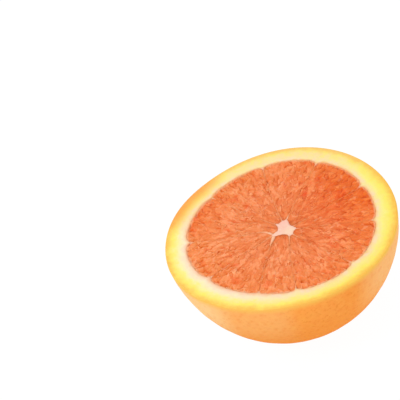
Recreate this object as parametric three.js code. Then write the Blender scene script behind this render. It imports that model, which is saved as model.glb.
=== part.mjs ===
// Half of a pink-fleshed orange, cut across the middle, lying on its round end with the cut face up.
//
// The half is one solid. It is turned on a lathe from a profile that runs from the stem scar
// underneath, round the skin, over the cut edge and across the cut face to the core. Its vertices
// are then moved: the fruit is not quite round, the flesh is scalloped by the membranes between its
// segments, and the cut juice sacs stand a little above and below the path of the knife.
//
// Millimetres, +Z up. The origin is on the surface that the fruit rests on, under its middle.

import * as THREE from 'three';
import { mergeVertices } from 'three/addons/utils/BufferGeometryUtils.js';

// ---- Driving dimensions ----

const RIM_RADIUS = 40; // half the width of the fruit at the cut
const BODY_DEPTH = 39.2; // from the cut down to the round end, before it is pressed flat
const REST_PRESS = 0.5; // how far the weight of the fruit presses the round end flat
const EDGE_ROUND = 0.45; // the cut edge of the skin is slightly blunt

const SCAR_RADIUS = 2.3; // the small dry scar where the stem was
const SCAR_SLOPE = 0.6;
const SCAR_DEPTH = 0.5;

const FLESH_RADIUS = 32.9; // the rind takes the rest of the radius
const CORE_OFFSET = new THREE.Vector2(1.0, -1.35); // the core is seldom in the middle
const CORE_RADIUS = 3.3;
const CORE_SINK = 0.35;
const CORE_ARM_SINK = 0.25; // the thick ends of the membranes that make the core a star
const CORE_ARM_LENGTH = 5;

// Directions of the ten membranes, in degrees anticlockwise from +X seen from above.
const MEMBRANES = [18, 58, 92, 130, 171, 208, 245, 268, 306, 344];
const NOTCH_DEPTH = 1.0; // how far a membrane pulls the rind in between two segments
const NOTCH_HALF_WIDTH = 4; // degrees
const GROOVE_SINK = 0.3; // the membrane lies a little below the flesh
const GROOVE_HALF_WIDTH = 1.1;

const FACE_CLEARANCE = 0.2; // mean depth of the flesh under the path of the knife
const DOME_FALL = 0.25; // a segment falls away by this much towards its sides
const SAC_RELIEF = 0.45; // from the lowest cut juice sac to the highest
const SAC_ROWS = 2; // rows of vertices in the length of a juice sac
const SAC_SEED = 7;

const SEGMENTS = 132;
const SKIN_ROWS = 17;
const FLESH_ROWS = 16;
const RIND_ROWS = 4;

const DEGREE = Math.PI / 180;
const CUT_HEIGHT = BODY_DEPTH - REST_PRESS;

// ---- Outlines in the plane of the cut ----

// Unevenness is a sum of waves round the fruit: [waves round, height in mm, direction of a crest].
const RIM_WAVES = [[1, 0.25, 185], [2, 0.33, 24], [3, 0.69, 74]];
const FLESH_WAVES = [[1, 0.33, 124], [2, 0.34, 121], [3, 0.68, 64]];
const BELLY_WAVES = [[1, 0.25, 90], [2, 0.56, 80]]; // halfway down the skin

const LOBE_RISE = 0.9; // the rind grew thicker on one side, so the rim has a lobe there
const LOBE_MIDDLE = 146; // degrees
const LOBE_SPREAD = 23;

function waves(list, angle) {
  const wave = ([count, height, crest]) => height * Math.cos(count * (angle - crest * DEGREE));
  return list.reduce((sum, entry) => sum + wave(entry), 0);
}

function angleBetween(a, b) {
  return Math.abs(Math.atan2(Math.sin(a - b), Math.cos(a - b)));
}

// Angle in radians to the nearest membrane.
function nearestMembrane(angle) {
  return Math.min(...MEMBRANES.map((degrees) => angleBetween(angle, degrees * DEGREE)));
}

// How far the rim stands out of a circle.
function rimBulge(angle) {
  const turn = angleBetween(angle, LOBE_MIDDLE * DEGREE) / (LOBE_SPREAD * DEGREE);
  return waves(RIM_WAVES, angle) + LOBE_RISE * Math.exp(-turn * turn);
}

function fleshOutline(angle) {
  const across = nearestMembrane(angle) / (NOTCH_HALF_WIDTH * DEGREE);
  const notch = NOTCH_DEPTH * Math.exp(-across * across);
  return FLESH_RADIUS + waves(FLESH_WAVES, angle) - notch;
}

// ---- The profile that is turned ----

// The round end is an ellipse that the resting plane cuts off at z = 0.
const FLAT_ANGLE = Math.acos(CUT_HEIGHT / BODY_DEPTH);

function profile() {
  const points = [
    new THREE.Vector2(0, SCAR_DEPTH),
    new THREE.Vector2(SCAR_RADIUS, SCAR_DEPTH),
    new THREE.Vector2(SCAR_RADIUS + SCAR_SLOPE, 0),
  ];
  const edgeAngle = Math.PI / 2 - EDGE_ROUND / BODY_DEPTH;
  for (let row = 0; row <= SKIN_ROWS; row += 1) {
    const down = THREE.MathUtils.lerp(FLAT_ANGLE, edgeAngle, row / SKIN_ROWS);
    points.push(new THREE.Vector2(RIM_RADIUS * Math.sin(down), CUT_HEIGHT - BODY_DEPTH * Math.cos(down)));
  }
  for (let row = 0; row <= RIND_ROWS; row += 1) {
    const radius = THREE.MathUtils.lerp(RIM_RADIUS - EDGE_ROUND, FLESH_RADIUS, row / RIND_ROWS);
    points.push(new THREE.Vector2(radius, CUT_HEIGHT));
  }
  for (let row = 1; row <= FLESH_ROWS; row += 1) {
    points.push(new THREE.Vector2(FLESH_RADIUS * (1 - row / FLESH_ROWS), CUT_HEIGHT));
  }
  return points;
}

// ---- Relief of the cut face ----

// A repeatable number from 0 to 1 for one cell of a lattice.
function cellNoise(column, row) {
  const mixed = Math.sin(column * 127.1 + row * 311.7 + SAC_SEED * 74.7) * 43758.5453;
  return mixed - Math.floor(mixed);
}

// Height of the cut juice sac at a spot, from 0 to 1. Sacs are one column of vertices wide and lie
// end to end from the core outwards, like bricks, so that neighbours start at different places.
function sacHeight(angle, out) {
  const turn = angle / (2 * Math.PI);
  const column = Math.round((turn - Math.floor(turn)) * SEGMENTS) % SEGMENTS;
  const shift = column % SAC_ROWS;
  const row = Math.floor((Math.round(out * FLESH_ROWS) + shift) / SAC_ROWS);
  return cellNoise(column, row);
}

// Depth below the path of the knife. The flesh is measured from the core, at distance radius of
// reach, in the direction angle.
function faceDepth(angle, radius, reach) {
  const out = radius / reach;
  const aside = radius * Math.sin(Math.min(nearestMembrane(angle), Math.PI / 2));
  const groove = GROOVE_SINK * Math.exp(-((aside / GROOVE_HALF_WIDTH) ** 2));
  const dome = DOME_FALL * (out ** 6 + Math.exp(-aside / 2));
  const core = CORE_SINK * Math.exp(-((radius / CORE_RADIUS) ** 4));
  const arms = CORE_ARM_SINK * Math.exp(-((radius / CORE_ARM_LENGTH) ** 2) - aside ** 2);
  const sacs = SAC_RELIEF * (sacHeight(angle, out) - 0.5) * THREE.MathUtils.smoothstep(out, 0.1, 0.6);
  return Math.max(0, FACE_CLEARANCE + dome + groove + core + arms - sacs);
}

// ---- Moving the turned vertices ----

// A point of the cut face: the flesh spreads from the core, and the rind fills what is left.
function placeOnFace(point, angle, radius) {
  const flesh = fleshOutline(angle);
  if (radius <= FLESH_RADIUS + 1e-6) {
    const out = radius / FLESH_RADIUS;
    const edge = new THREE.Vector2(Math.cos(angle), Math.sin(angle)).multiplyScalar(flesh);
    const spot = CORE_OFFSET.clone().lerp(edge, out);
    const fromCore = spot.clone().sub(CORE_OFFSET);
    const reach = edge.distanceTo(CORE_OFFSET);
    const depth = faceDepth(Math.atan2(fromCore.y, fromCore.x), fromCore.length(), reach);
    return point.set(spot.x, spot.y, CUT_HEIGHT - depth);
  }
  const edgeRadius = RIM_RADIUS - EDGE_ROUND;
  const across = (radius - FLESH_RADIUS) / (edgeRadius - FLESH_RADIUS);
  const spread = THREE.MathUtils.lerp(flesh, RIM_RADIUS + rimBulge(angle) - EDGE_ROUND, across);
  return point.set(spread * Math.cos(angle), spread * Math.sin(angle), CUT_HEIGHT);
}

// A point of the skin: the rim's unevenness fades away down to the flat spot.
function placeOnSkin(point, angle, radius, height) {
  const up = height / CUT_HEIGHT;
  const middle = Math.sin(Math.PI * up);
  const bulge = rimBulge(angle) * up ** 2 + waves(BELLY_WAVES, angle) * middle;
  const spread = radius + bulge * Math.min(1, radius / (RIM_RADIUS / 2));
  return point.set(spread * Math.cos(angle), spread * Math.sin(angle), height);
}

function orangeHalfGeometry() {
  const turned = new THREE.LatheGeometry(profile(), SEGMENTS);
  turned.deleteAttribute('normal');
  turned.deleteAttribute('uv');
  turned.rotateX(Math.PI / 2);
  const geometry = mergeVertices(turned, 1e-4);
  const position = geometry.attributes.position;
  const point = new THREE.Vector3();
  for (let index = 0; index < position.count; index += 1) {
    point.fromBufferAttribute(position, index);
    const angle = Math.atan2(point.y, point.x);
    const radius = Math.hypot(point.x, point.y);
    if (point.z > CUT_HEIGHT - 1e-6) {
      placeOnFace(point, angle, radius);
    } else if (point.z > 0 && radius > SCAR_RADIUS + SCAR_SLOPE) {
      placeOnSkin(point, angle, radius, point.z);
    }
    position.setXYZ(index, point.x, point.y, point.z);
  }
  geometry.computeBoundingBox();
  const middle = geometry.boundingBox.getCenter(new THREE.Vector3());
  return geometry.translate(-middle.x, -middle.y, 0);
}

// ---- The model ----

const flesh = new THREE.MeshStandardMaterial({ color: 0xf0854f, roughness: 0.35, metalness: 0 });

const orangeHalf = new THREE.Mesh(orangeHalfGeometry(), flesh);
orangeHalf.name = 'orange_half';

const group = new THREE.Group();
group.add(orangeHalf);

export default group;
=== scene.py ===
# %% [markdown]
# # Half a pink-fleshed orange
# An orange that was cut across its middle, seen from a little above the cut. The peel with its white
# pith is one bowl, ten wedges of flesh lie in it, and thin membranes that meet in a pale core stand
# between them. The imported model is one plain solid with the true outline. The pieces below stand for
# it, each with the detail that its real surface has: pores, cut juice sacs and a starry core.

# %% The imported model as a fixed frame
import math

import bmesh
import bpy
import numpy as np
from mathutils import Matrix, Vector
from mathutils.kdtree import KDTree


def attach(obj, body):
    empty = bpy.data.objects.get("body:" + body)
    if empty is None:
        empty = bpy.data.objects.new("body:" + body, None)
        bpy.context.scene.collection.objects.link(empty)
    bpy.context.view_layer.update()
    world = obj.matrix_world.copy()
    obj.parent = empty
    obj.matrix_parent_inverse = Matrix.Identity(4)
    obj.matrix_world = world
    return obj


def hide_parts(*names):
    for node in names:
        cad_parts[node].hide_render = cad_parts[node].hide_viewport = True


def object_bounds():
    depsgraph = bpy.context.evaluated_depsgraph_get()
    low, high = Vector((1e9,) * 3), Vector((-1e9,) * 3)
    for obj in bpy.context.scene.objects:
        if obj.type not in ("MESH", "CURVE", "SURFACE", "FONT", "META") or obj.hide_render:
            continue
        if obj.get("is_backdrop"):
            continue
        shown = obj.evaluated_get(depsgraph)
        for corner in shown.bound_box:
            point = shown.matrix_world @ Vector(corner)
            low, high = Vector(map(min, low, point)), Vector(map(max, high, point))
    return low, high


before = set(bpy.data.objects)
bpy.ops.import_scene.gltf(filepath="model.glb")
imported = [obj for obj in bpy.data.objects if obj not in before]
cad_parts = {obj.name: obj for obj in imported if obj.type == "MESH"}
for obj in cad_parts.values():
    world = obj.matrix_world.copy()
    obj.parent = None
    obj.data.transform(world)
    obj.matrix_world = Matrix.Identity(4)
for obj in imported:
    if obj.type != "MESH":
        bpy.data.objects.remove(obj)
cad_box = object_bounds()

print("solid:", [round(1000 * size, 2) for size in cad_box[1] - cad_box[0]], "mm")

# %% [markdown]
# ## Sizes
# Everything is worked out in millimetres, which suit a fruit, and each finished mesh is scaled to
# metres once. The driving sizes are those of the solid: a rim 80 mm across and a round end that the
# weight of the fruit presses a little flat.

# %% Driving sizes, in millimetres and degrees
MM = 0.001
RIM_RADIUS = 40.0
BODY_DEPTH = 39.2
REST_PRESS = 0.5
CUT_HEIGHT = BODY_DEPTH - REST_PRESS
EDGE_ROUND = 0.45
FLESH_RADIUS = 32.9
FLESH_DEPTH = 32.0
CORE = np.array([1.0, -1.35])
SEED = 11
TINY = 1e-6

print("the flesh reaches", round(FLESH_RADIUS / RIM_RADIUS, 2), "of the way to the skin")

# %% [markdown]
# ## The outlines in the plane of the cut
# No fruit is quite round. A wave of two, three or more crests round the rim is an easy way to say so:
# each row below is the number of crests, their height and the direction of one of them. The same
# rows shape the solid, so the pieces have its outline.

# %% Waves round the fruit
RIM_WAVES = [(1, 0.25, 185), (2, 0.33, 24), (3, 0.69, 74)]
FLESH_WAVES = [(1, 0.33, 124), (2, 0.34, 121), (3, 0.68, 64)]
BELLY_WAVES = [(1, 0.25, 90), (2, 0.56, 80)]
LOBE_RISE = 0.9
LOBE_MIDDLE = 146
LOBE_SPREAD = 23


def waves(rows, angle):
    return sum(height * np.cos(crests * (angle - math.radians(crest))) for crests, height, crest in rows)


def polar(radius, angle):
    return np.stack([radius * np.cos(angle), radius * np.sin(angle)], axis=-1)


def rim_bulge(angle):
    """How far the rim stands out of a circle: its waves, and the lobe where it grew thicker."""
    turn = np.mod(np.degrees(angle) - LOBE_MIDDLE + 180, 360) - 180
    return waves(RIM_WAVES, angle) + LOBE_RISE * np.exp(-((turn / LOBE_SPREAD) ** 2))


bulges = rim_bulge(np.radians(np.arange(360)))
print("the rim leaves its circle by", bulges.min().round(2), "to", bulges.max().round(2), "mm")

# %% [markdown]
# ## Ten segments round a core that is off the middle
# A membrane runs from a root on the starry core to the pith. Where two segments meet the pith, it
# reaches in between their rounded corners, which gives the flesh its scalloped outline. No two
# segments of a fruit are alike, so each list below has one entry for each of the ten. A root and a
# tip are given by their distance from the middle of the core and their direction.

# %% Membranes, their roots and the tips of the segments
MEMBRANES = [18, 58, 92, 130, 171, 208, 245, 268, 306, 344]
ROOTS = [(2.8, 12), (5.1, 76), (4.9, 97), (5.2, 130), (5.1, 191),
         (5.6, 197), (5.6, 206), (4.5, 274), (4.15, 298), (3.9, 342)]
ROOT_HALVES = [0.13, 0.13, 0.13, 0.13, 0.13, 0.13, 0.42, 0.17, 0.13, 0.13]
ROOT_REACH = 0.1
HOOKS = [0, 0, 0, 0, -4.3, 0, 0, 0, 0, 0]
HOOK_START, HOOK_END = 0.1, 0.5
TIPS = [(2.3, 40), (4.4, 86), (4.0, 113), (2.85, 163), (5.25, 194),
        (5.5, 201.5), (2.7, 246), (4.0, 285), (3.2, 318), (2.9, 357)]
CORNER_DEPTHS = [1.4, 1.3, 1.0, 0.9, 1.7, 1.7, 0.6, 1.2, 1.5, 1.2]
CORNER_POWER = 7
MEMBRANE_HALF = 0.11
PITH_FLARE = 3
FLARE_POWER = 24
BOW = 0.5
BOW_PHASE = 7.0


def corner(angle):
    """How far the rounded corners of the segments keep the flesh inside its smooth outline."""
    starts = np.radians(MEMBRANES + [MEMBRANES[0] + 360])
    depths = np.array(CORNER_DEPTHS + [CORNER_DEPTHS[0]])
    turned = np.mod(angle - starts[0], 2 * math.pi) + starts[0]
    index = np.clip(np.searchsorted(starts, turned, side="right") - 1, 0, len(MEMBRANES) - 1)
    across = 2 * (turned - starts[index]) / (starts[index + 1] - starts[index]) - 1
    return np.where(across < 0, depths[index], depths[index + 1]) * np.abs(across) ** CORNER_POWER


def flesh_outline(angle):
    return FLESH_RADIUS + waves(FLESH_WAVES, angle) - corner(angle)


def membrane_half(number, along):
    """Half the thickness of a membrane, which is thicker at the core and at the pith."""
    half = MEMBRANE_HALF * (1 + PITH_FLARE * np.clip(along, 0, 1) ** FLARE_POWER)
    return half + ROOT_HALVES[number] * np.exp(-((along / ROOT_REACH) ** 2))


def bend(number, along):
    """How far a membrane leaves its straight line: a bow, and by the core a hook where it has one."""
    along = np.clip(along, 0, 1)
    bow = BOW * math.sin(BOW_PHASE * number) * np.sin(math.pi * along)
    hook = np.exp(-along / HOOK_END) - np.exp(-along / HOOK_START)
    return bow + HOOKS[number] * (1 - along) * hook


def around_core(rows):
    """Points given by their distance from the middle of the core and their direction."""
    return np.array([CORE + polar(distance, math.radians(angle)) for distance, angle in rows])


ROOT_POINTS = around_core(ROOTS)
TIP_POINTS = around_core(TIPS)


def wedge(number, along, across, spare=0.0):
    """Points of segment number: along runs 0 to 1 from core to pith, across -1 to 1 over its width.
    The membranes keep their thickness, less what the wedge is given to spare."""
    following = (number + 1) % len(MEMBRANES)
    start = math.radians(MEMBRANES[number])
    turn = math.radians((MEMBRANES[following] - MEMBRANES[number]) % 360)
    first, second, tip = ROOT_POINTS[number], ROOT_POINTS[following], TIP_POINTS[number]
    control = 2 * tip - (first + second) / 2
    width = np.linalg.norm(
        (1 - along)[..., None] * (second - first)
        + along[..., None] * (polar(FLESH_RADIUS, start + turn) - polar(FLESH_RADIUS, start)),
        axis=-1,
    )
    near = (membrane_half(number, along) - spare) / width
    far = (membrane_half(following, along) - spare) / width
    share = (near + (across + 1) / 2 * (1 - near - far))[..., None]
    inner = (1 - share) ** 2 * first + 2 * share * (1 - share) * control + share**2 * second
    angle = start + turn * share[..., 0]
    outer = polar(flesh_outline(angle) + spare, angle)
    points = inner + along[..., None] * (outer - inner)
    swing = (1 - share[..., 0]) * bend(number, along) + share[..., 0] * bend(following, along)
    return points + swing[..., None] * polar(1.0, angle + math.pi / 2)


SIDE_POINTS = 9
ring_along = np.repeat([0.0, 1.0], SIDE_POINTS)
ring_across = np.concatenate([np.linspace(-1, 1, SIDE_POINTS), np.linspace(1, -1, SIDE_POINTS)])
areas = []
for number in range(len(MEMBRANES)):
    x, y = wedge(number, ring_along, ring_across).T
    areas.append(abs(np.dot(x, np.roll(y, 1)) - np.dot(y, np.roll(x, 1))) / 2)
print("area of each segment:", [round(area) for area in areas], "square mm")

# %% [markdown]
# ## Small helpers for meshes
# A bmesh is edited in place, so one helper reads all its points as an array and one moves them. One
# stores a value with each point, in a layer that a material can read as an attribute, and one turns
# the finished bmesh into an object that sits at the origin, in metres. Nothing on a fruit is quite
# smooth, so the last adds up a few waves that run in random directions.


# %% Reading, moving and finishing a bmesh
def points_of(verts):
    return np.array([vert.co[:] for vert in verts])


def move_to(verts, points):
    for vert, point in zip(verts, points.tolist()):
        vert.co = point


def set_layer(bm, name, values, verts=None):
    """Stores a value with each point of the bmesh, or of a part of it whose layer is there already."""
    layers = bm.verts.layers.float
    layer = layers[name] if verts else layers.new(name)
    for vert, value in zip(verts or bm.verts, values.tolist()):
        vert[layer] = value


def finish_piece(bm, name, shift):
    bmesh.ops.translate(bm, verts=bm.verts, vec=(*shift, 0))
    bmesh.ops.scale(bm, verts=bm.verts, vec=(MM, MM, MM))
    mesh = bpy.data.meshes.new(name)
    bm.to_mesh(mesh)
    bm.free()
    mesh.shade_smooth()
    piece = bpy.data.objects.new(name, mesh)
    bpy.context.scene.collection.objects.link(piece)
    triangles = sum(len(face.vertices) - 2 for face in mesh.polygons)
    print(f"{name}: {triangles} triangles")
    return piece


CREST_SPREAD = (0.7, 1.4)


def ripples(points, length, seed, count=7):
    """Smooth unevenness of about -1 to 1 with crests about one length apart."""
    draw = np.random.default_rng(seed)
    total = np.zeros(len(points))
    for _ in range(count):
        heading = draw.normal(size=points.shape[1])
        heading /= np.linalg.norm(heading) * length * draw.uniform(*CREST_SPREAD)
        total += np.sin(2 * math.pi * (points @ heading + draw.uniform()))
    return total / math.sqrt(count / 2)


# %% [markdown]
# ## The peel
# The peel is a bowl with a thick wall, so its section is drawn once and spun round the fruit's axis:
# up the skin from the stem scar, over the slightly blunt cut edge, across the pale pith and down the
# inside. A value called across goes with each point: 0 where the pith meets the flesh, 1 at the cut
# edge and more down the skin. The colours follow it later.

# %% The section of the peel
SCAR_RADIUS = 2.3
SCAR_SLOPE = 0.6
SCAR_DEPTH = 0.5
SKIN_ROWS = 124
EDGE_ROWS = 4
PITH_ROWS = 15
WALL_ROWS = 10
SPIN_STEPS = 480
LIP_DROP = 0.5
PITH_WIDTH = RIM_RADIUS - EDGE_ROUND - FLESH_RADIUS
SCAR_ACROSS = 9


def peel_section():
    """Rows of radius, height and across."""
    rows = [(radius, SCAR_DEPTH, SCAR_ACROSS) for radius in (0, SCAR_RADIUS / 2, SCAR_RADIUS)]
    rows.append((SCAR_RADIUS + SCAR_SLOPE, 0, SCAR_ACROSS))
    lowest = math.acos(CUT_HEIGHT / BODY_DEPTH)
    highest = math.pi / 2 - EDGE_ROUND / BODY_DEPTH
    for angle in np.linspace(lowest, highest, SKIN_ROWS):
        height = CUT_HEIGHT - BODY_DEPTH * math.cos(angle)
        rows.append((RIM_RADIUS * math.sin(angle), height, 1 + (CUT_HEIGHT - height) / PITH_WIDTH))
    for angle in np.linspace(0, math.pi / 2, EDGE_ROWS + 1)[1:]:
        height = CUT_HEIGHT - EDGE_ROUND * (1 - math.sin(angle))
        radius = RIM_RADIUS - EDGE_ROUND * (1 - math.cos(angle))
        rows.append((radius, height, 1 + (CUT_HEIGHT - height) / PITH_WIDTH))
    for share in np.linspace(1, 0, PITH_ROWS + 1)[1:]:
        rows.append((FLESH_RADIUS + share * PITH_WIDTH, CUT_HEIGHT, share))
    for angle in np.linspace(0, math.pi / 2, WALL_ROWS + 1)[1:]:
        radius = FLESH_RADIUS * math.cos(angle)
        height = CUT_HEIGHT - LIP_DROP - FLESH_DEPTH * math.sin(angle)
        rows.append((radius, height, -math.sin(angle)))
    return rows


section = peel_section()
print("points in the section:", len(section))

# %% Spinning the section
peel = bmesh.new()
across_layer = peel.verts.layers.float.new("across")
chain = []
for radius, height, across in section:
    vert = peel.verts.new((radius, 0, height))
    vert[across_layer] = across
    chain.append(vert)
for lower, upper in zip(chain, chain[1:]):
    peel.edges.new((lower, upper))
bmesh.ops.spin(peel, geom=peel.verts[:] + peel.edges[:], cent=(0, 0, 0), axis=(0, 0, 1),
               angle=2 * math.pi, steps=SPIN_STEPS, use_merge=True)
bmesh.ops.remove_doubles(peel, verts=peel.verts, dist=1e-4)
bmesh.ops.recalc_face_normals(peel, faces=peel.faces)
print("peel:", len(peel.verts), "points, closed:", not any(edge.is_boundary for edge in peel.edges))


# %% [markdown]
# The spun bowl is perfectly round. Each of its points is now moved to the true outline: the skin by
# the waves of the rim and belly, the pith between the rim and the scalloped flesh.

# %% Out of round
def peel_points(points, across):
    angle = np.arctan2(points[:, 1], points[:, 0])
    radius = np.hypot(points[:, 0], points[:, 1])
    up = np.clip(points[:, 2] / CUT_HEIGHT, 0, 1)
    bulge = rim_bulge(angle) * up**2 + waves(BELLY_WAVES, angle) * np.sin(math.pi * up)
    skin = radius + bulge * np.clip(radius / (RIM_RADIUS / 2), 0, 1)
    flesh = flesh_outline(angle)
    pith = flesh + across * (RIM_RADIUS + rim_bulge(angle) - EDGE_ROUND - flesh)
    wall = radius * flesh / FLESH_RADIUS
    spread = np.where(across > 1, skin, np.where(across >= 0, pith, wall))
    resting = (across > 1) & (points[:, 2] <= TINY)
    spread = np.where(resting & (radius < SCAR_RADIUS + 2 * SCAR_SLOPE), radius, spread)
    return np.column_stack([polar(spread, angle), points[:, 2]])


peel_verts = peel.verts[:]
peel_across = np.array([vert[across_layer] for vert in peel_verts])
placed = peel_points(points_of(peel_verts), peel_across)
middle = (placed[:, :2].max(0) + placed[:, :2].min(0)) / 2
print("the outline's middle is", middle.round(3), "mm from the axis")

# %% [markdown]
# Orange skin is dimpled by its oil glands. The dimples are spread by the golden angle, which covers
# a round surface evenly, then nudged at random. Each skin point looks up its two nearest dimples in
# a KD tree and sinks by how close they are. The skin stays smooth where it rests and at the cut
# edge. The pith gets a faint unevenness from the knife, and a lip that rounds off to the flesh.

# %% Dimples of the skin
DIMPLE_SPACING = 2.0
DIMPLE_NUDGE = 0.22
DIMPLE_DEPTH = 0.11
DEPTH_SHARES = (0.35, 1.3)
DIMPLE_WIDTHS = (0.32, 0.65)
GOLDEN_ANGLE = math.pi * (3 - math.sqrt(5))
SMOOTH_MARGIN = 0.3
FADE_FROM_REST = 2
FADE_FROM_RIM = 1.5
SKIN_WAVE = 0.05

draw = np.random.default_rng(SEED)
dimple_count = round(2 * math.pi * RIM_RADIUS * BODY_DEPTH / DIMPLE_SPACING**2)
order = np.arange(dimple_count)
level = (order + 0.5) / dimple_count
ring = RIM_RADIUS * np.sqrt(1 - level**2)
dimples = np.column_stack([polar(ring, order * GOLDEN_ANGLE), CUT_HEIGHT - BODY_DEPTH * level])
dimples += draw.normal(scale=DIMPLE_SPACING * DIMPLE_NUDGE, size=dimples.shape)
dimple_width = draw.uniform(*DIMPLE_WIDTHS, dimple_count)
dimple_sink = DIMPLE_DEPTH * draw.uniform(*DEPTH_SHARES, dimple_count)

# %% How far each point of the skin sinks
tree = KDTree(dimple_count)
for index, dimple in enumerate(dimples):
    tree.insert(dimple, index)
tree.balance()

sink = np.zeros(len(peel_verts))
dimple_amount = np.zeros(len(peel_verts))
for index in np.flatnonzero((peel_across > 1) & (placed[:, 2] > SMOOTH_MARGIN)):
    for _, which, distance in tree.find_n(placed[index], 2):
        amount = math.exp(-((distance / dimple_width[which]) ** 2))
        sink[index] += dimple_sink[which] * amount
        dimple_amount[index] = max(dimple_amount[index], amount)
skin_fade = np.clip((placed[:, 2] - SMOOTH_MARGIN) / FADE_FROM_REST, 0, 1)
skin_fade *= np.clip((CUT_HEIGHT - SMOOTH_MARGIN - placed[:, 2]) / FADE_FROM_RIM, 0, 1)
sink = sink * skin_fade + SKIN_WAVE * skin_fade * (1 + ripples(placed, length=6.0, seed=SEED)) / 2
print("dimples:", dimple_count, "deepest:", round(sink.max(), 2), "mm")

inward = placed.copy()
inward[:, 2] = (placed[:, 2] - CUT_HEIGHT) * (RIM_RADIUS / BODY_DEPTH) ** 2
inward /= -np.maximum(np.linalg.norm(inward, axis=1), TINY)[:, None]
placed += np.where(peel_across > 1, sink, 0)[:, None] * inward

# %% Knife marks on the pith
MARK_DEPTH = 0.05
FINE_MARKS = 0.035
BROAD_MARKS = 0.03
LIP_SHARE = 0.4
LIP_WIDTH = 0.25

on_pith = (peel_across >= 0) & (peel_across <= 1)
marks = MARK_DEPTH + FINE_MARKS * ripples(placed[:, :2], length=2.2, seed=SEED + 1)
marks += BROAD_MARKS * ripples(placed[:, :2], length=7.0, seed=SEED + 2)
marks = np.clip(marks, 0, 1) * np.sqrt(np.clip(1 - peel_across, 0, 1))
lip = LIP_DROP * LIP_SHARE * np.exp(-(peel_across * PITH_WIDTH / LIP_WIDTH))
placed[:, 2] -= np.where(on_pith, marks + lip, 0)
move_to(peel_verts, placed)
set_layer(peel, "dimple", dimple_amount * skin_fade)
rind = finish_piece(peel, "rind", -middle)

# %% [markdown]
# ## The core
# The core is a star whose arms are the roots of the membranes. Its outline is the row of segment
# tips, so it is walked from root to root. A circle with that many points is bent to the outline,
# then extruded twice: inwards, ring by ring, for its top, which is a very low dome, and down into
# the fruit in steps that shrink towards the axis, as the segments do.

# %% Rings about the core
CORE_LEVEL = CUT_HEIGHT - 0.08
CORE_DOME = 0.12
CORE_RINGS = (0.94, 0.84, 0.68, 0.48, 0.25)
TIP_COUNT = 15
DOWN_STEPS = 8


def next_ring(bm, edges, grow, height):
    """Extrudes a ring of edges, grown about the core and moved to a height."""
    made = bmesh.ops.extrude_edge_only(bm, edges=edges)["geom"]
    fresh = {item for item in made if isinstance(item, bmesh.types.BMVert)}
    for vert in fresh:
        vert.co.x = CORE[0] + (vert.co.x - CORE[0]) * grow
        vert.co.y = CORE[1] + (vert.co.y - CORE[1]) * grow
        vert.co.z = height
    return [item for item in made if isinstance(item, bmesh.types.BMEdge) and fresh.issuperset(item.verts)]


def shrink_at(depth):
    """How much smaller the flesh is, at a depth under the cut."""
    return math.sqrt(max(0.0, 1 - (depth / FLESH_DEPTH) ** 2))


def push_down(bm, edges, top, steps):
    """Extends a ring of edges down into the bowl, ring by ring, and closes it."""
    size = 1.0
    for angle in np.linspace(0, math.pi / 2, steps + 2)[1:-1]:
        depth = FLESH_DEPTH * math.sin(angle)
        edges = next_ring(bm, edges, shrink_at(depth) / size, top - depth)
        size = shrink_at(depth)
    bmesh.ops.contextual_create(bm, geom=edges)


# %% The star's outline
tip_along, tip_across = np.zeros(TIP_COUNT), np.linspace(-1, 1, TIP_COUNT)
outline = np.concatenate([wedge(number, tip_along, tip_across) for number in range(len(MEMBRANES))])
print("points round the star:", len(outline))

# %% The star
SPONGE_RELIEF = 0.05
TOP_DEPTH = 0.5

star = bmesh.new()
made = bmesh.ops.create_circle(star, segments=len(outline), radius=1)
in_order = sorted(made["verts"], key=lambda vert: math.atan2(vert.co.y, vert.co.x) % (2 * math.pi))
move_to(in_order, np.column_stack([outline, np.full(len(outline), CORE_LEVEL - CORE_DOME)]))
edges = star.edges[:]
push_down(star, edges, CORE_LEVEL - CORE_DOME, DOWN_STEPS)
size = 1.0
for ring_size in CORE_RINGS:
    edges = next_ring(star, edges, ring_size / size, CORE_LEVEL - CORE_DOME * ring_size**4)
    size = ring_size
bmesh.ops.contextual_create(star, geom=edges)
bmesh.ops.recalc_face_normals(star, faces=star.faces)
print("star:", len(star.verts), "points, closed:", not any(edge.is_boundary for edge in star.edges))

# %% Its rim value and its relief
star_points = points_of(star.verts)
reach = np.linalg.norm(outline - CORE, axis=1)
bearing = np.mod(np.arctan2(*(outline - CORE).T[::-1]), 2 * math.pi)
order = np.argsort(bearing)
offset = star_points[:, :2] - CORE
own_bearing = np.mod(np.arctan2(offset[:, 1], offset[:, 0]), 2 * math.pi)
own_reach = np.interp(own_bearing, bearing[order], reach[order], period=2 * math.pi)
set_layer(star, "rim", np.clip(np.linalg.norm(offset, axis=1) / own_reach, 0, 1))
sponge_relief = SPONGE_RELIEF * ripples(star_points[:, :2], length=1.6, seed=SEED + 4)
star_points[:, 2] += np.where(star_points[:, 2] > CORE_LEVEL - TOP_DEPTH, sponge_relief, 0)
star_points[:, 2] = np.minimum(star_points[:, 2], CUT_HEIGHT)
move_to(star.verts, star_points)
core = finish_piece(star, "core", -middle)

# %% [markdown]
# ## The membranes
# Between two segments stands a skin of a fifth of a millimetre. Its two faces are the sides of its
# neighbours, so a narrow grid is stretched between them and pushed down in the same way. It sinks a
# little under the cut between its two ends. Two values go with its points: rooted is 1 at the core,
# and fades over a length of its own for each membrane, and pithy is 1 at the pith.

# %% Ten thin walls
WALL_POINTS = 90
WALL_LENGTH = 1.03
MEMBRANE_LEVEL = CUT_HEIGHT - 0.4
ROOT_RISE = 0.28
PITH_RISE = 0.18
MEMBRANE_RELIEF = 0.06
ROOTED_REACHES = [0.3, 1.1, 0.3, 0.3, 4.0, 0.3, 2.9, 1.0, 0.3, 0.3]
PITHY_REACH = 0.8


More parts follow.
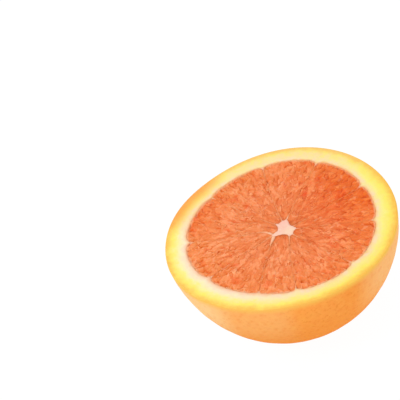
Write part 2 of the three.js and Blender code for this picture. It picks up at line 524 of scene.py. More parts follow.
def membrane(bm, number):
    made = bmesh.ops.create_grid(bm, x_segments=WALL_POINTS, y_segments=2, size=1)
    verts = made["verts"]
    grid = points_of(verts)
    along, share = (grid[:, 0] + 1) / 2 * WALL_LENGTH, (grid[:, 1:2] + 1) / 2
    before = wedge(number - 1, along, np.ones(len(along)))
    after = wedge(number, along, -np.ones(len(along)))
    spots = before + share * (after - before)
    from_root = np.linalg.norm(spots - ROOT_POINTS[number], axis=1)
    to_pith = np.clip(1 - along, 0, 1) * FLESH_RADIUS
    rooted = np.exp(-((from_root / ROOTED_REACHES[number]) ** 2))
    pithy = np.exp(-((to_pith / PITHY_REACH) ** 2))
    level = MEMBRANE_LEVEL + ROOT_RISE * rooted + PITH_RISE * pithy
    level += MEMBRANE_RELIEF * ripples(spots, length=1.8, seed=[SEED, number, 4])
    move_to(verts, np.column_stack([spots, level]))
    set_layer(bm, "rooted", rooted, verts)
    set_layer(bm, "pithy", pithy, verts)
    own = set(verts)
    push_down(bm, [edge for edge in bm.edges if edge.is_boundary and own.issuperset(edge.verts)],
              MEMBRANE_LEVEL, DOWN_STEPS)


walls = bmesh.new()
walls.verts.layers.float.new("rooted")
walls.verts.layers.float.new("pithy")
for number in range(len(MEMBRANES)):
    membrane(walls, number)
bmesh.ops.recalc_face_normals(walls, faces=walls.faces)
membranes = finish_piece(walls, "membranes", -middle)

# %% [markdown]
# ## The flesh
# A segment is packed with juice sacs: spindles that point at the core, fat at the pith and thin
# inwards. The knife opens the top ones, so the cut shows long low domes with creases between them.
# A mesh for each sac would be heavy and leave gaps, so a fine grid is bent into the wedge, and every
# grid point takes the height of the tallest sac there. The crease is where the two tallest are level.

# %% Juice sacs of one segment
SAC_ROWS = 11
SAC_WIDTH, SAC_WIDENING = 0.9, 0.75
SAC_LENGTH, SAC_SHORTENING = 7.5, 2.0
LENGTH_SHARES, WIDTH_SHARES = (0.7, 1.3), (0.7, 1.25)
SAC_LIFTS = (-0.12, 0.16)
SAC_PACKING = 0.85
SAC_SHIFT = 0.6
SAC_SWERVE, SWERVE_GROWTH = 0.22, 0.16


def ease(low, high, value):
    share = np.clip((value - low) / (high - low), 0, 1)
    return share * share * (3 - 2 * share)


def juice_sacs(number):
    """Rows of centre, direction, half length, half width, lift and tone, one for each sac."""
    draw = np.random.default_rng([SEED, number])
    rows = []
    for along in (np.arange(SAC_ROWS) + 0.5) / SAC_ROWS:
        sides = wedge(number, np.full(2, along), np.array([-1.0, 1.0]))
        width = np.linalg.norm(sides[1] - sides[0])
        sac_width = SAC_WIDTH + SAC_WIDENING * ease(0.05, 0.6, along)
        sac_length = SAC_LENGTH - SAC_SHORTENING * ease(0.3, 1.0, along)
        count = max(2, math.ceil(width / (SAC_PACKING * sac_width)))
        for place in (np.arange(count) + draw.uniform(0.2, 0.8)) / count:
            spot_along = along + draw.uniform(-SAC_SHIFT, SAC_SHIFT) / SAC_ROWS
            spot_across = 2 * place - 1 + draw.uniform(-SAC_SHIFT, SAC_SHIFT) / count
            ends = wedge(number, np.array([spot_along, spot_along + 0.05]), np.array([spot_across] * 2))
            heading = math.atan2(*(ends[1] - ends[0])[::-1])
            heading += draw.normal(scale=SAC_SWERVE + SWERVE_GROWTH * along)
            half_length = sac_length * draw.uniform(*LENGTH_SHARES) / 2
            half_width = sac_width * draw.uniform(*WIDTH_SHARES) / 2
            lift = draw.uniform(*SAC_LIFTS)
            rows.append((*ends[0], heading, half_length, half_width, lift, draw.uniform()))
    return np.array(rows)


sacs_of = [juice_sacs(number) for number in range(len(MEMBRANES))]
print("juice sacs:", sum(len(sacs) for sacs in sacs_of))

# %% The relief that the sacs make
SAC_RISE = 0.4
SAC_TAPER = 0.3
DOME_POWER = 0.8
FALL_OUTSIDE = 0.6
SAC_SOFTNESS = 0.05
TONE_SOFTNESS = 0.09


def sac_relief(points, sacs):
    """Height, tone and crease of the flesh at each point."""
    offset = points[:, None, :] - sacs[None, :, :2]
    heading = sacs[:, 2]
    forward = (offset[..., 0] * np.cos(heading) + offset[..., 1] * np.sin(heading)) / sacs[:, 3]
    taper = 1 + SAC_TAPER * np.clip(forward, -1, 1)
    aside = (offset[..., 1] * np.cos(heading) - offset[..., 0] * np.sin(heading)) / (sacs[:, 4] * taper)
    inside = 1 - forward**2 - aside**2
    rise = 2 * SAC_RISE * sacs[:, 4]
    dome = np.where(inside > 0, np.clip(inside, 0, None) ** DOME_POWER, FALL_OUTSIDE * inside)
    height = sacs[:, 5] + rise * dome
    tallest = height.max(axis=1)
    close = np.exp((height - tallest[:, None]) / SAC_SOFTNESS).sum(axis=1)
    weight = np.exp((height - tallest[:, None]) / TONE_SOFTNESS)
    tone = weight @ sacs[:, 6] / weight.sum(axis=1)
    return tallest + SAC_SOFTNESS * np.log(close), tone, np.clip(close - 1, 0, 1)


# %% Torn skins of the sacs
THREAD_SPREAD = 20
THREAD_STRETCH = 0.22
THREAD_WIDTH = 0.34


def threads(points, seed):
    """Thin wavy threads, 0 to 1, that run outwards from the core."""
    offset = points - CORE
    turned = THREAD_SPREAD * np.arctan2(offset[:, 1], offset[:, 0])
    fan = np.column_stack([turned, THREAD_STRETCH * np.linalg.norm(offset, axis=1)])
    line = np.exp(-((ripples(fan, length=3.0, seed=[*seed, 5]) / THREAD_WIDTH) ** 2))
    return line * ease(-0.4, 0.5, ripples(points, length=3.2, seed=[*seed, 6]))


# %% [markdown]
# Most membranes hardly show in the cut, because the sacs of both sides press against them and stand
# level. So a segment's relief also counts the sacs of its neighbours that lie close to the shared
# wall. The relief is bolder towards the pith, and no part of the flesh stands above the cut.

# %% One segment after another
NEIGHBOUR_REACH = 3.0
GRID_ALONG = 180
GRID_ACROSS = 110
FLESH_LEVEL = CUT_HEIGHT - 0.62
FLESH_STEPS = 7
SIDE_SPARE = 0.09
BOLD_AT_CORE, BOLD_GROWTH = 0.36, 0.54
FLAT_RISE = 0.25
SWELL = 0.05
SAC_WANDER = 0.2
THREAD_WANDER = 1.5
THREAD_RISE = 0.13
LOWEST_SAC = -0.2
KNIFE_LIMIT = 0.6
KNIFE_GAP = 0.02
SIDE_DROP, SIDE_REACH = 0.03, 0.3
END_RISE, END_REACH = 0.2, 0.5
SEGMENT_LENGTH = FLESH_RADIUS - 4
BORDER_WIDTH = 0.5
# How much painted shadow each segment gets along its tip by the core
PAINTED_TIP_SHADOWS = [0.2, 0.2, 0.2, 0.3, 0.1, 0.2, 0.8, 0.3, 0.3, 0.1]


def sacs_near(number):
    """The sacs of a segment, and those of its neighbours that lie across its sides."""
    found = [sacs_of[number]]
    along = np.linspace(0, 1, 40)
    for other, side in ((number - 1, -1.0), ((number + 1) % len(MEMBRANES), 1.0)):
        border = wedge(number, along, np.full(len(along), side))
        gaps = np.linalg.norm(sacs_of[other][:, None, :2] - border, axis=2).min(axis=1)
        found.append(sacs_of[other][gaps < NEIGHBOUR_REACH])
    return np.concatenate(found)


def flesh_surface(number, along, across):
    """Points of the cut of one segment, and the values that go with them."""
    spots = wedge(number, along, across, spare=SIDE_SPARE)
    drift = SAC_WANDER * np.column_stack([ripples(spots, length=2.6, seed=[SEED, 21]),
                                          ripples(spots, length=2.6, seed=[SEED, 22])])
    height, tone, crease = sac_relief(spots + drift, sacs_near(number))
    height = KNIFE_LIMIT * (1 - np.exp(-np.clip(height, LOWEST_SAC, None) / KNIFE_LIMIT))
    bold = BOLD_AT_CORE + BOLD_GROWTH * ease(0.05, 0.8, along)
    thread = threads(spots + THREAD_WANDER * drift, [SEED, 23]) * ease(0.05, 0.3, along)
    edges = [wedge(number, along, np.full(len(along), side)) for side in (-1.0, 1.0)]
    width = np.linalg.norm(edges[1] - edges[0], axis=1)
    to_side = (1 - np.abs(across)) * width / 2
    to_end = np.minimum(1 - along, along) * SEGMENT_LENGTH
    edge = SIDE_DROP * np.exp(-to_side / SIDE_REACH) - END_RISE * np.exp(-to_end / END_REACH)
    swell = SWELL * ripples(spots, length=9.0, seed=[SEED, 24])
    level = FLESH_LEVEL + FLAT_RISE * (1 - bold) + bold * height + swell - edge + THREAD_RISE * thread
    level = np.minimum(level, CUT_HEIGHT - KNIFE_GAP)
    # Painted shadow line along the border of the tip, near the core
    to_border = np.minimum(to_side, along * SEGMENT_LENGTH)
    border = np.exp(-((to_border / BORDER_WIDTH) ** 2)) * ease(0.3, 0.1, along)
    values = {"tone": tone, "crease": crease * bold, "lift": np.clip(height / KNIFE_LIMIT, 0, 1),
              "out": along, "thread": thread, "border": PAINTED_TIP_SHADOWS[number] * border}
    return np.column_stack([spots, level]), values


def segment_piece(number):
    """A grid bent to the cut of a segment, whose edge is pushed down into the bowl."""
    bm = bmesh.new()
    bmesh.ops.create_grid(bm, x_segments=GRID_ALONG, y_segments=GRID_ACROSS, size=1)
    grid = points_of(bm.verts)
    points, values = flesh_surface(number, (grid[:, 0] + 1) / 2, grid[:, 1])
    move_to(bm.verts, points)
    for name, value in values.items():
        set_layer(bm, name, value)
    push_down(bm, [edge for edge in bm.edges if edge.is_boundary], FLESH_LEVEL, FLESH_STEPS)
    set_layer(bm, "deep", np.where(np.arange(len(bm.verts)) < len(grid), 0.0, 1.0))
    bmesh.ops.recalc_face_normals(bm, faces=bm.faces)
    print(f"segment {number + 1}: relief {np.ptp(points[:, 2]):.2f} mm")
    return finish_piece(bm, f"segment_{number + 1:02d}", -middle)


segments = [segment_piece(number) for number in range(len(MEMBRANES))]

# %% [markdown]
# ## The stem scar
# Underneath, where the stem broke off, a small dry button sits in a shallow dent. It is a disc that
# is inset twice, with a raised middle and a soft bevel round it.

# %% The button of the stem
BUTTON_RADIUS = 1.7
BUTTON_HEIGHT = 0.32
BUTTON_INSETS = [(0.35, 0), (0.25, -0.1)]
BUTTON_BEVEL = 0.08
BUTTON_RAISE = 0.1
SHARP_ANGLE = 0.7
BUTTON_RIBS = 9
RIB_DEPTH = 0.05

button = bmesh.new()
bmesh.ops.create_circle(button, segments=40, radius=BUTTON_RADIUS, cap_ends=True)
face = button.faces[:][0]
body = bmesh.ops.extrude_face_region(button, geom=[face])["geom"]
lower = [item for item in body if isinstance(item, bmesh.types.BMVert)]
bmesh.ops.translate(button, verts=lower, vec=(0, 0, -BUTTON_HEIGHT))
cap = [item for item in body if isinstance(item, bmesh.types.BMFace)]
for share, depth in BUTTON_INSETS:
    bmesh.ops.inset_region(button, faces=cap, thickness=BUTTON_RADIUS * share, depth=depth)
bmesh.ops.recalc_face_normals(button, faces=button.faces)
rim_edges = [edge for edge in button.edges if edge.calc_face_angle(0) > SHARP_ANGLE]
bmesh.ops.bevel(button, geom=rim_edges, offset=BUTTON_BEVEL, segments=2, profile=0.5,
                affect="EDGES", material=-1)
for vert in button.verts:
    rib = math.cos(BUTTON_RIBS * math.atan2(vert.co.y, vert.co.x))
    vert.co.x *= 1 + RIB_DEPTH * rib
    vert.co.y *= 1 + RIB_DEPTH * rib
bmesh.ops.translate(button, verts=button.verts, vec=(0, 0, SCAR_DEPTH + BUTTON_RAISE))
stem_scar = finish_piece(button, "stem_scar", -middle)

# %% [markdown]
# ## Shader maths as plain sums
# A material is a tree of nodes. Written out node by node it is hard to read, so a Wire wraps an
# output socket and adds a Math node for each sum or product, and a Finish makes every other node
# with one method. Its further methods only give short names to the nodes that are used most.


# %% Wires
class Wire:
    """An output socket that can be used in sums."""

    def __init__(self, finish, socket):
        self.finish = finish
        self.socket = socket

    def maths(self, operation, first, second=0.0):
        return self.finish.node("ShaderNodeMath", {"operation": operation}, {0: first, 1: second})

    def __add__(self, other):
        return self.maths("ADD", self, other)

    def __sub__(self, other):
        return self.maths("SUBTRACT", self, other)

    def __rsub__(self, other):
        return self.maths("SUBTRACT", other, self)

    def __mul__(self, other):
        return self.maths("MULTIPLY", self, other)

    def ramp(self, low, high, bottom=0.0, top=1.0):
        """Runs smoothly from bottom to top while the value runs from low to high."""
        return self.finish.node(
            "ShaderNodeMapRange",
            {"interpolation_type": "SMOOTHSTEP"},
            {0: self, 1: low, 2: high, 3: bottom, 4: top},
        )

    __radd__ = __add__
    __rmul__ = __mul__


# %% Finishes
def level_vector(direction, length=1.0):
    """A level vector in a direction in degrees."""
    angle = math.radians(direction)
    return (length * math.cos(angle), length * math.sin(angle), 0)


class Finish:
    """One material and the nodes that make it."""

    def __init__(self, name, **constants):
        self.material = bpy.data.materials.new(name)
        self.material.use_nodes = True
        self.tree = self.material.node_tree
        self.shader = self.tree.nodes["Principled BSDF"]
        for socket, value in constants.items():
            self.shader.inputs[socket.replace("_", " ")].default_value = value

    def node(self, kind, settings=None, sockets=None, output=0):
        """A node of any kind. Its settings come first, because they can change its sockets."""
        made = self.tree.nodes.new(kind)
        for setting, value in (settings or {}).items():
            if setting == "stops":
                self.set_stops(made.color_ramp, value)
            else:
                setattr(made, setting, value)
        for socket, value in (sockets or {}).items():
            self.feed(made.inputs[socket], value)
        return Wire(self, made.outputs[output])

    def set_stops(self, ramp, stops):
        while len(ramp.elements) < len(stops):
            ramp.elements.new(1.0)
        for element, (position, colour) in zip(ramp.elements, stops):
            element.position = position
            element.color = colour

    def feed(self, socket, value):
        if isinstance(value, Wire):
            self.tree.links.new(value.socket, socket)
        else:
            socket.default_value = value

    def mix(self, factor, first, second):
        return self.node("ShaderNodeMix", {"data_type": "RGBA"}, {0: factor, 6: first, 7: second}, output=2)

    def tinted(self, colour, *tints):
        """Mixes tints into a colour one after another, each as far as its mask and strength say."""
        for mask, strength, tint in tints:
            colour = self.mix(mask * strength, colour, tint)
        return colour

    def colour_ramp(self, value, stops):
        return self.node("ShaderNodeValToRGB", {"stops": stops}, {"Fac": value})

    def vector(self, operation, first, second=(0, 0, 0), output=0):
        """A Vector Math node. Where it gives a number, that is the output called Value."""
        return self.node("ShaderNodeVectorMath", {"operation": operation}, {0: first, 1: second}, output)

    def attribute(self, name):
        return self.node("ShaderNodeAttribute", {"attribute_name": name}, output="Fac")

    def place(self):
        return self.node("ShaderNodeTexCoord", output="Object")

    def toward(self, place, direction):
        """Distance from the axis in a direction in degrees, as a share of the rim's radius."""
        return self.vector("DOT_PRODUCT", place, level_vector(direction, 1 / (RIM_RADIUS * MM)), "Value")

    def facing(self, place, direction):
        """The cosine of the angle round the axis between each point and a direction in degrees."""
        unit = self.vector("NORMALIZE", self.vector("MULTIPLY", place, (1, 1, 0)))
        return self.vector("DOT_PRODUCT", unit, level_vector(direction), "Value")

    def away(self, place, point):
        """Distance from a point in the plane of the cut, in millimetres."""
        target = (point[0] * MM, point[1] * MM, CUT_HEIGHT * MM)
        return self.vector("DISTANCE", place, target, "Value") * (1 / MM)

    def noise(self, place, length, detail=2.0):
        """Noise of 0 to 1 whose lumps are about one length across, in millimetres."""
        sockets = {"Vector": place, "Scale": 1 / (length * MM), "Detail": detail}
        return self.node("ShaderNodeTexNoise", None, sockets)

    def bump(self, height, depth, normal=None):
        """Turns a height of 0 to 1 into dents that are depth millimetres deep."""
        sockets = {"Height": height, "Distance": depth * MM, "Strength": 1.0}
        if normal:
            sockets["Normal"] = normal
        return self.node("ShaderNodeBump", None, sockets)

    def set(self, **sockets):
        for socket, value in sockets.items():
            self.feed(self.shader.inputs[socket.replace("_", " ")], value)

    def put_on(self, *pieces):
        for piece in pieces:
            piece.data.materials.clear()
            piece.data.materials.append(self.material)
        print(f"finish {self.material.name}: {len(self.tree.nodes)} nodes, pieces: {len(pieces)}")


# %% Colours as they show on a screen
def srgb(red, green, blue):
    """A colour given as it shows on a screen, 0 to 255, as the light that it stands for."""
    def light(value):
        share = value / 255
        return share / 12.92 if share <= 0.04045 else ((share + 0.055) / 1.055) ** 2.4
    return (light(red), light(green), light(blue), 1.0)


# %% [markdown]
# ## Peel: skin, zest and pith in one material
# Cut peel has no line between its layers. The pith next to the flesh is stained pink by it, and it
# runs through cream and lemon yellow to the golden zest under the skin. A material for each layer
# would leave seams, so one ramp over the value called across gives all of them. The pith is paler on
# one side of this fruit, so a golden and a milky ramp are mixed, and a little noise makes the
# borders wander as real ones do.

# %% Colours through the peel
GOLDEN_STOPS = [
    (0.00, srgb(236, 160, 104)),
    (0.06, srgb(239, 190, 132)),
    (0.18, srgb(241, 217, 154)),
    (0.42, srgb(241, 230, 134)),
    (0.67, srgb(241, 223, 106)),
    (1.00, srgb(240, 186, 82)),
]
MILKY_STOPS = [
    (0.00, srgb(237, 160, 116)),
    (0.05, srgb(239, 188, 150)),
    (0.15, srgb(241, 218, 184)),
    (0.26, srgb(241, 227, 188)),
    (0.50, srgb(241, 231, 152)),
    (0.71, srgb(241, 223, 114)),
    (1.00, srgb(240, 184, 86)),
]

peel_finish = Finish("peel", Roughness=0.45, Coat_Weight=0.1, Coat_Roughness=0.3, Specular_IOR_Level=0.0,
                     Subsurface_Weight=0.15, Subsurface_Scale=1.5 * MM, Subsurface_Radius=(1.0, 0.6, 0.3))
place = peel_finish.place()
across = peel_finish.attribute("across")
wander = peel_finish.noise(place, 5.0) - 0.5
fine = peel_finish.noise(place, 0.7) - 0.5
cloud = (peel_finish.noise(place, 2.0, detail=1.0) - 0.5) * across.ramp(0.2, 0.5)
drift = wander * 0.24 + fine * 0.05 + cloud * 0.2 + peel_finish.toward(place, 60) * 0.06
spot = across + drift * across.ramp(0.0, 0.2)
golden = peel_finish.colour_ramp(spot, GOLDEN_STOPS)
milky = peel_finish.colour_ramp(spot, MILKY_STOPS)
layers = peel_finish.mix(peel_finish.toward(place, 210).ramp(0.1, 0.8), golden, milky)

# %% [markdown]
# Pith is never quite even. It is duller beige on one side and warmer on another, and rosy and
# greenish patches lie in it. On one side the zest is given a painted orange reflection. Each of these
# is a mask, made of a direction, a stretch of across or some noise, that mixes one tint in. The wall
# under the cut, where across is below 0, is the colour of deep flesh.

# %% Patches in the pith and the zest
dull = peel_finish.toward(place, 80).ramp(0.4, 0.9) * spot.ramp(0.1, 0.4) * spot.ramp(0.6, 0.9, 1.0, 0.3)
warm = peel_finish.toward(place, 280).ramp(0.4, 0.9) * spot.ramp(0.0, 0.15)
warm = warm * spot.ramp(0.55, 0.75, 1.0, 0.0)
blotch = peel_finish.noise(place, 2.6, detail=1.0)
rosy = blotch.ramp(0.45, 0.62) * spot.ramp(0.02, 0.12) * spot.ramp(0.2, 0.45, 1.0, 0.0)
green = blotch.ramp(0.55, 0.38) * spot.ramp(0.35, 0.5) * spot.ramp(0.75, 1.0, 1.0, 0.0)
# Painted reflection: orange light thrown back onto the zest at one side
painted_orange_reflection = peel_finish.facing(place, 138).ramp(0.88, 0.99) * across.ramp(0.0, 1.0)
layers = peel_finish.tinted(
    layers,
    (dull, 0.75, srgb(241, 212, 160)),
    (warm, 0.3, srgb(243, 200, 142)),
    (rosy, 0.5, srgb(245, 210, 184)),
    (green, 0.35, srgb(240, 228, 96)),
    (painted_orange_reflection, 0.9, srgb(240, 160, 80)),
    (across.ramp(-0.01, -0.05), 1.0, srgb(214, 100, 42)),
)

# %% [markdown]
# The skin is orange with a faint mottle, and it is painted deeper and darker down the side, as
# painted shade towards the bottom. Oil glands are darker dimples, partly by their own colour and
# partly by painted shade in the pits, and fine specks lie between them. A painted sheen makes the
# skin pale in three places near the rim. A sheen place is given by its direction, the cosines of the
# angles from it at which the sheen ends and is full, and its amount.

# %% Skin
# Painted sheen near the rim: direction, cosines where it ends and is full, and amount
PAINTED_SHEEN_PLACES = [(205, 0.86, 0.97, 0.8), (246, 0.92, 0.99, 0.27), (335, 0.76, 0.95, 0.5)]

broad = peel_finish.noise(place, 22.0)
mottle = peel_finish.noise(place, 2.4)
speck = peel_finish.noise(place, 0.9, detail=1.0)
painted_sheen = sum(peel_finish.facing(place, direction).ramp(low, high) * amount
           for direction, low, high, amount in PAINTED_SHEEN_PLACES)
skin = peel_finish.tinted(
    peel_finish.mix(broad.ramp(0.3, 0.7), srgb(242, 147, 61), srgb(244, 154, 69)),
    (mottle.ramp(0.35, 0.75), 0.3, srgb(245, 167, 73)),
    # painted shade: the skin is darker and deeper in colour down the side, away from the rim
    (across.ramp(2.0, 5.0), 0.7, srgb(237, 133, 31)),
    (across.ramp(3.5, 6.5), 0.8, srgb(235, 128, 14)),
    (speck.ramp(0.6, 0.7), 0.4, srgb(226, 124, 34)),
    (speck.ramp(0.38, 0.3), 0.3, srgb(250, 172, 84)),
    # painted sheen: the skin is paler in three places near the rim
    (painted_sheen, across.ramp(5.0, 2.0), srgb(245, 203, 140)),
    # oil glands: partly their own darker colour, partly painted shade in the dimples
    (peel_finish.attribute("dimple"), 0.35, srgb(230, 116, 32)),
)

# %% Skin and pith together
below = across.ramp(1.0, 1.45)
pores = peel_finish.noise(place, 0.5, detail=3.0) * below
grain = peel_finish.noise(place, 0.35, detail=2.0) * (1 - below)
relief = peel_finish.bump(pores, 0.05)
relief = peel_finish.bump(grain, 0.04, relief)
peel_finish.set(Base_Color=peel_finish.mix(below, layers, skin), Normal=relief)
peel_finish.put_on(rind)

# %% [markdown]
# ## Wet flesh
# Each sac has its own tone, and the light that gets lost in the creases makes them deeper than the
# tops. These values were worked out with the shape and come with its points, so colour and relief
# agree. What is finer than the grid is noise: grain, and fibres and torn skins that run out from the
# core. Noise that runs outwards needs coordinates that do, so the helper below makes them. A torn
# skin gets a painted shadow line with a painted highlight line beside it. All of this adds up to one
# value, the shade.

# %% Streaks that run out from the core
core_middle = Vector((*(CORE - middle) * MM, CUT_HEIGHT * MM))


def streaks(finish, place, spread, length, detail=1.0, distortion=0.0):
    """Noise of 0 to 1 that runs outwards: spread cells to the radian, each about one length long."""
    offset = finish.vector("SUBTRACT", place, core_middle)
    fan = finish.vector("MULTIPLY", finish.vector("NORMALIZE", offset), (spread, spread, spread))
    outwards = finish.vector("LENGTH", offset, output="Value") * (1 / (length * MM))
    rise = finish.node("ShaderNodeCombineXYZ", None, {"Z": outwards})
    sockets = {"Vector": finish.vector("ADD", fan, rise), "Scale": 1.0, "Detail": detail,
               "Distortion": distortion}
    return finish.node("ShaderNodeTexNoise", None, sockets)


# %% Values that come with the flesh, and noise that is finer
flesh_finish = Finish("wet_flesh", Roughness=0.36, Coat_Weight=0.1, Coat_Roughness=0.15,
                      Specular_IOR_Level=0.1, Subsurface_Weight=0.2, Subsurface_Scale=1.2 * MM,
                      Subsurface_Radius=(1.0, 0.35, 0.15))
place = flesh_finish.place()
stored = ("tone", "crease", "lift", "out", "thread")
tone, crease, lift, out, thread = [flesh_finish.attribute(name) for name in stored]
blotch = flesh_finish.noise(place, 2.2)
fibre = streaks(flesh_finish, place, 30.0, 1.8, detail=3.0, distortion=0.3)
grain = flesh_finish.noise(place, 0.6, detail=2.0)
busy = flesh_finish.noise(place, 5.0).ramp(0.38, 0.62, 0.4, 1.3) * out.ramp(0.1, 0.4, 0.6, 1.0)

# %% Torn skins and the shade of the flesh
tear = streaks(flesh_finish, place, 11.0, 4.0, distortion=0.7)
torn = flesh_finish.noise(place, 3.0).ramp(0.48, 0.58)
# Painted shadow and painted highlight beside each torn skin
painted_tear_shadow = tear.ramp(0.44, 0.48) * tear.ramp(0.495, 0.535, 1.0, 0.0)
painted_tear_highlight = tear.ramp(0.51, 0.55) * tear.ramp(0.56, 0.6, 1.0, 0.0)
shade = (tone - 0.5) * 0.36 + (lift - 0.4) * 0.36 + (blotch - 0.5) * 0.5 + (thread - 0.2) * 0.22
shade = shade + ((fibre - 0.5) * 0.18 + (grain - 0.5) * 0.45) * busy - crease * 0.24
shade = shade + (painted_tear_highlight * 0.35 - painted_tear_shadow * 0.4) * torn + 0.49

# %% [markdown]
# A fruit ripens unevenly, and this one is ripest on one side of its core. The shade picks from a ramp
# for soft salmon flesh and from one for ripe flesh, and ripeness mixes the two. Near the pith on one
# side, more ripeness paints the flesh darker and redder, as painted shade and orange reflection. Small
# stains of deep red lie in streaks and in a few larger spots, which are given by place and reach. Some
# pale patches are painted highlights, and the torn ends at the pith are pale.

# %% Ripe and soft flesh
SALMON = srgb(233, 134, 79)
BLUSH = srgb(250, 165, 116)
SOFT_STOPS = [(0.1, srgb(217, 101, 36)), (0.5, SALMON), (0.9, BLUSH)]
RIPE_STOPS = [(0.1, srgb(211, 65, 4)), (0.5, srgb(227, 94, 24)), (0.9, srgb(243, 125, 56))]
RIPEST = (30, 11)
RIPE_REACH = 35.0


def ripe_side(finish, place):
    """1 at the ripest spot of the cut, 0 from its reach on."""
    return finish.away(place, RIPEST).ramp(RIPE_REACH, 0.0)


patch = flesh_finish.noise(place, 7.0)
ripeness_and_painted_bounce = flesh_finish.toward(place, 4) * 0.28 + ripe_side(flesh_finish, place) * 0.54
# Painted shade and orange reflection near the pith on one side, added to the ripeness
ripeness_and_painted_bounce = ripeness_and_painted_bounce + flesh_finish.facing(place, 144).ramp(0.9, 0.98) * out.ramp(0.55, 0.95) * 0.45
ripeness_and_painted_bounce = ripeness_and_painted_bounce + (patch - 0.5) * 0.7 + (blotch - 0.5) * 0.5 + 0.2
soft = flesh_finish.colour_ramp(shade, SOFT_STOPS)
ripe = flesh_finish.colour_ramp(shade, RIPE_STOPS)
flesh_colour = flesh_finish.mix(ripeness_and_painted_bounce, soft, ripe)

# %% Stains, bleached patches and pale ends
RED_SPOTS = [(-19, -20, 2.6), (23, 8, 3.4), (-27, 16, 2.4), (-9, -26, 2.4), (17, 19, 2.2), (11, 13, 2.0)]

stain = streaks(flesh_finish, place, 9.0, 3.0).ramp(0.58, 0.72) * out.ramp(0.3, 0.5)
for x, y, reach in RED_SPOTS:
    distance = flesh_finish.away(place, (x, y)) + (blotch - 0.5) * 4.0 + (grain - 0.5) * 1.5
    stain = stain + distance.ramp(reach, 0.4 * reach) * 1.5
# Painted highlights: pale pink patches on the wet flesh
painted_highlights = flesh_finish.noise(place, 2.6).ramp(0.6, 0.72)
pulled = (out + (blotch - 0.5) * 0.03).ramp(0.972, 1.0)
flesh_colour = flesh_finish.tinted(
    flesh_colour,
    (painted_highlights, 0.35, srgb(249, 176, 134)),
    (stain, 0.36, srgb(231, 80, 26)),
    (out.ramp(0.5, 0.9), 0.2, srgb(236, 128, 40)),
    (pulled, 0.65, srgb(244, 182, 138)),
    # Painted shadow along the segment tips by the core
    (flesh_finish.attribute("border"), 0.8, srgb(192, 94, 34)),
    (flesh_finish.attribute("deep").ramp(0.0, 0.05), 1.0, srgb(240, 138, 80)),
)
relief = flesh_finish.bump(fibre * busy, 0.06)
relief = flesh_finish.bump(grain * busy, 0.04, relief)
relief = flesh_finish.bump(tear.ramp(0.46, 0.56) * torn, 0.15, relief)
flesh_finish.set(Base_Color=flesh_colour, Normal=relief)
flesh_finish.put_on(*segments)

# %% [markdown]
# ## Core and membranes
# The core is spongy and pale pink, creamier on one side, and its rim takes up the colour of the
# juice. The membranes are pale where they leave the core and where they reach the pith. In between
# they can hardly be told from the flesh, so they share its colours and its ripe side.

# %% The core's finish
CREAMY_SPOT, CREAMY_REACH = (2.6, -3.4), 3.0
PINK_SPOT, PINK_REACH = (0.8, 1.6), 4.0

core_finish = Finish("core", Roughness=0.5, Specular_IOR_Level=0.2,
                     Subsurface_Weight=0.2, Subsurface_Scale=1.2 * MM, Subsurface_Radius=(1.0, 0.6, 0.4))
place = core_finish.place()
sponge = core_finish.noise(place, 0.7, detail=3.0)
juicy = core_finish.attribute("rim") + (sponge - 0.5) * 0.3
colour = core_finish.tinted(
    core_finish.mix(sponge, srgb(242, 189, 165), srgb(246, 201, 181)),
    (core_finish.away(place, CREAMY_SPOT).ramp(CREAMY_REACH, 0.5), 0.5, srgb(243, 212, 178)),
    (core_finish.away(place, PINK_SPOT).ramp(PINK_REACH, 0.5), 0.6, srgb(245, 184, 168)),
    (juicy.ramp(0.86, 1.08), 0.7, srgb(236, 148, 100)),
)
core_finish.set(Base_Color=colour, Normal=core_finish.bump(sponge, 0.08))
core_finish.put_on(core)

# %% The membranes' finish
membrane_finish = Finish("membrane", Roughness=0.45, Specular_IOR_Level=0.15,
                         Subsurface_Weight=0.2, Subsurface_Scale=1.2 * MM, Subsurface_Radius=(1.0, 0.5, 0.3))
place = membrane_finish.place()
mottle = membrane_finish.noise(place, 1.2)
colour = membrane_finish.tinted(
    membrane_finish.mix(mottle, SALMON, BLUSH),
    (ripe_side(membrane_finish, place), 0.8, srgb(232, 104, 38)),
    (membrane_finish.attribute("rooted"), 1.0, srgb(248, 187, 150)),
    (membrane_finish.attribute("pithy"), 0.85, srgb(246, 192, 156)),
)
membrane_finish.set(Base_Color=colour, Normal=membrane_finish.bump(mottle, 0.03))
membrane_finish.put_on(membranes)

# %% The scar's finish
scar_finish = Finish("scar", Roughness=0.7)
place = scar_finish.place()
colour = scar_finish.mix(scar_finish.noise(place, 0.6, detail=4.0), srgb(150, 116, 70), srgb(196, 160, 104))
scar_finish.set(Base_Color=colour, Normal=scar_finish.bump(scar_finish.noise(place, 0.3, detail=3.0), 0.08))
scar_finish.put_on(stem_scar)

# %% [markdown]
# ## Who rides on what
# The fruit has no moving parts, so all pieces ride on the one body, and each stands for the solid.

# %% Bodies and the replaced solid
for piece in [rind, core, membranes, stem_scar, *segments]:
    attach(piece, "root")
    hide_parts("orange_half")

# %% [markdown]
# ## Floor, light and camera
# A white floor and a white sky light the fruit softly from all sides. A large lamp at the left gives
# it form, a smaller one behind it puts a glint on the wet flesh, and a weak one fills the right. The
# camera looks down on the cut with a long lens, tipped to one side. It is placed by what its picture
# has to show: how wide the picture is at the fruit, and where in it the middle of the rim lies.

# %% The floor and the sky
FLOOR_HALF = 2000.0
FLOOR_GLOW = 0.96
SKY_STRENGTH = 0.88
WHITE = (1, 1, 1, 1)

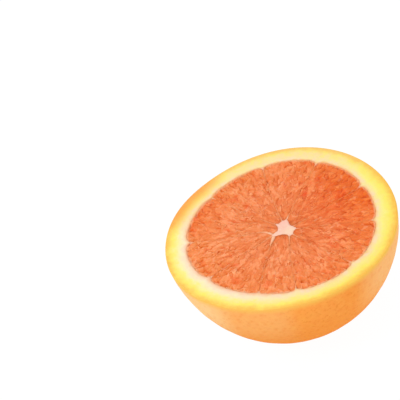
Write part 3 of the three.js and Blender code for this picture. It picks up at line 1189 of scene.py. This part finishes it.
floor_bm = bmesh.new()
bmesh.ops.create_grid(floor_bm, x_segments=1, y_segments=1, size=FLOOR_HALF)
floor = finish_piece(floor_bm, "floor", (0, 0))
floor_finish = Finish("floor", Base_Color=(0.06, 0.06, 0.06, 1), Roughness=0.9, Specular_IOR_Level=0.1,
                      Emission_Color=WHITE, Emission_Strength=FLOOR_GLOW)
floor_finish.put_on(floor)
floor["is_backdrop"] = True

scene = bpy.context.scene
world = bpy.data.worlds.new("sky")
scene.world = world
world.use_nodes = True
background = world.node_tree.nodes["Background"]
background.inputs["Color"].default_value = WHITE
background.inputs["Strength"].default_value = SKY_STRENGTH
scene.view_settings.view_transform = "Standard"

# %% The lamps
cut_middle = Vector((0, 0, CUT_HEIGHT * MM))


def soft_lamp(name, place, size, power):
    """A round lamp that points at the middle of the cut. Its place is in metres."""
    lamp = bpy.data.lights.new(name, "AREA")
    lamp.shape = "DISK"
    lamp.size = size
    lamp.energy = power
    holder = bpy.data.objects.new(name, lamp)
    scene.collection.objects.link(holder)
    holder.location = place
    holder.rotation_euler = (cut_middle - Vector(place)).to_track_quat("-Z", "Y").to_euler()


soft_lamp("key", (-0.5, -0.3, 0.7), size=0.35, power=2.2)
soft_lamp("glint", (-0.45, 0.7, 0.62), size=0.2, power=0.8)
soft_lamp("fill", (0.7, -0.45, 0.2), size=0.35, power=0.55)

# %% The camera
VIEW_DOWN = 41.4
VIEW_TILT = 15.5
DISTANCE = 900.0
PICTURE_WIDTH = 135.9
PICTURE_PIXELS = 400
RIM_MIDDLE_PIXEL = (282.2, 226.6)
SENSOR = 36.0
NEAREST, FARTHEST = 0.05, 20

down, tilt = math.radians(VIEW_DOWN), math.radians(VIEW_TILT)
back = Vector((0, -math.cos(down), math.sin(down)))
level_right, level_up = Vector((1, 0, 0)), Vector((0, math.sin(down), math.cos(down)))
right = math.cos(tilt) * level_right - math.sin(tilt) * level_up
up = math.sin(tilt) * level_right + math.cos(tilt) * level_up
per_pixel = PICTURE_WIDTH / PICTURE_PIXELS
aside = (RIM_MIDDLE_PIXEL[0] - PICTURE_PIXELS / 2) * per_pixel
above = (PICTURE_PIXELS / 2 - RIM_MIDDLE_PIXEL[1]) * per_pixel
ray = aside * right + above * up - DISTANCE * back
turn = ray.rotation_difference(-back)
axes = [turn @ axis for axis in (right, up, back)]
rim_middle = Vector((*-middle, CUT_HEIGHT))
eye = (rim_middle + back * ray.length) * MM

lens = bpy.data.cameras.new("camera")
lens.sensor_width = SENSOR
lens.lens = SENSOR * DISTANCE / PICTURE_WIDTH
lens.clip_start, lens.clip_end = NEAREST, FARTHEST
camera = bpy.data.objects.new("camera", lens)
scene.collection.objects.link(camera)
camera.matrix_world = Matrix.Translation(eye) @ Matrix(axes).transposed().to_4x4()
scene.camera = camera
print("lens:", round(lens.lens), "mm at", round(ray.length), "mm")

# %% [markdown]
# ## The two boxes
# The dressed fruit has to fill the same box as the solid. Both boxes are set side by side, and the
# size of the dressed fruit is printed.

# %% The two boxes
boxes = {"cad": [list(corner) for corner in cad_box], "visual": [list(corner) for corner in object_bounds()]}
print("dressed:", [round(1000 * (high - low), 2) for low, high in zip(*boxes["visual"])], "mm")
